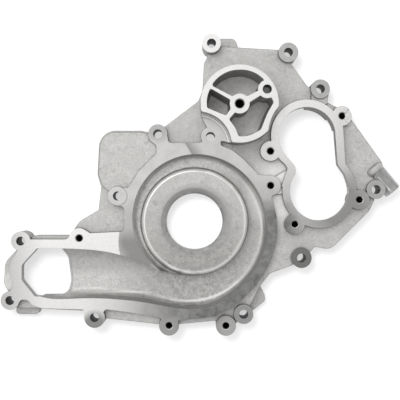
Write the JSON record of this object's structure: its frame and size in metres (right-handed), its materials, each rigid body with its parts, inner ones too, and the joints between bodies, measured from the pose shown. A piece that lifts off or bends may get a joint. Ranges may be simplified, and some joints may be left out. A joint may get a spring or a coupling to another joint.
{
  "type": "water pump housing",
  "caption": "Cast aluminium engine cover with a spiral pump bay, an outlet duct, a round spoked chamber, a pear shaped opening, bolt lugs and machined gasket faces.",
  "frame": {"origin": "axis of the suction bore at the rear gasket face", "axes": "+Z out of the front along the suction bore, +X to the right and +Y up in the front view"},
  "size_m": [0.4011, 0.3014, 0.058],
  "materials": {
    "cast_aluminium": "as cast and shot blasted, with milled gasket faces"
  },
  "bodies": {
    "root": {"pump_housing": "cast_aluminium"}
  },
  "joints": []
}
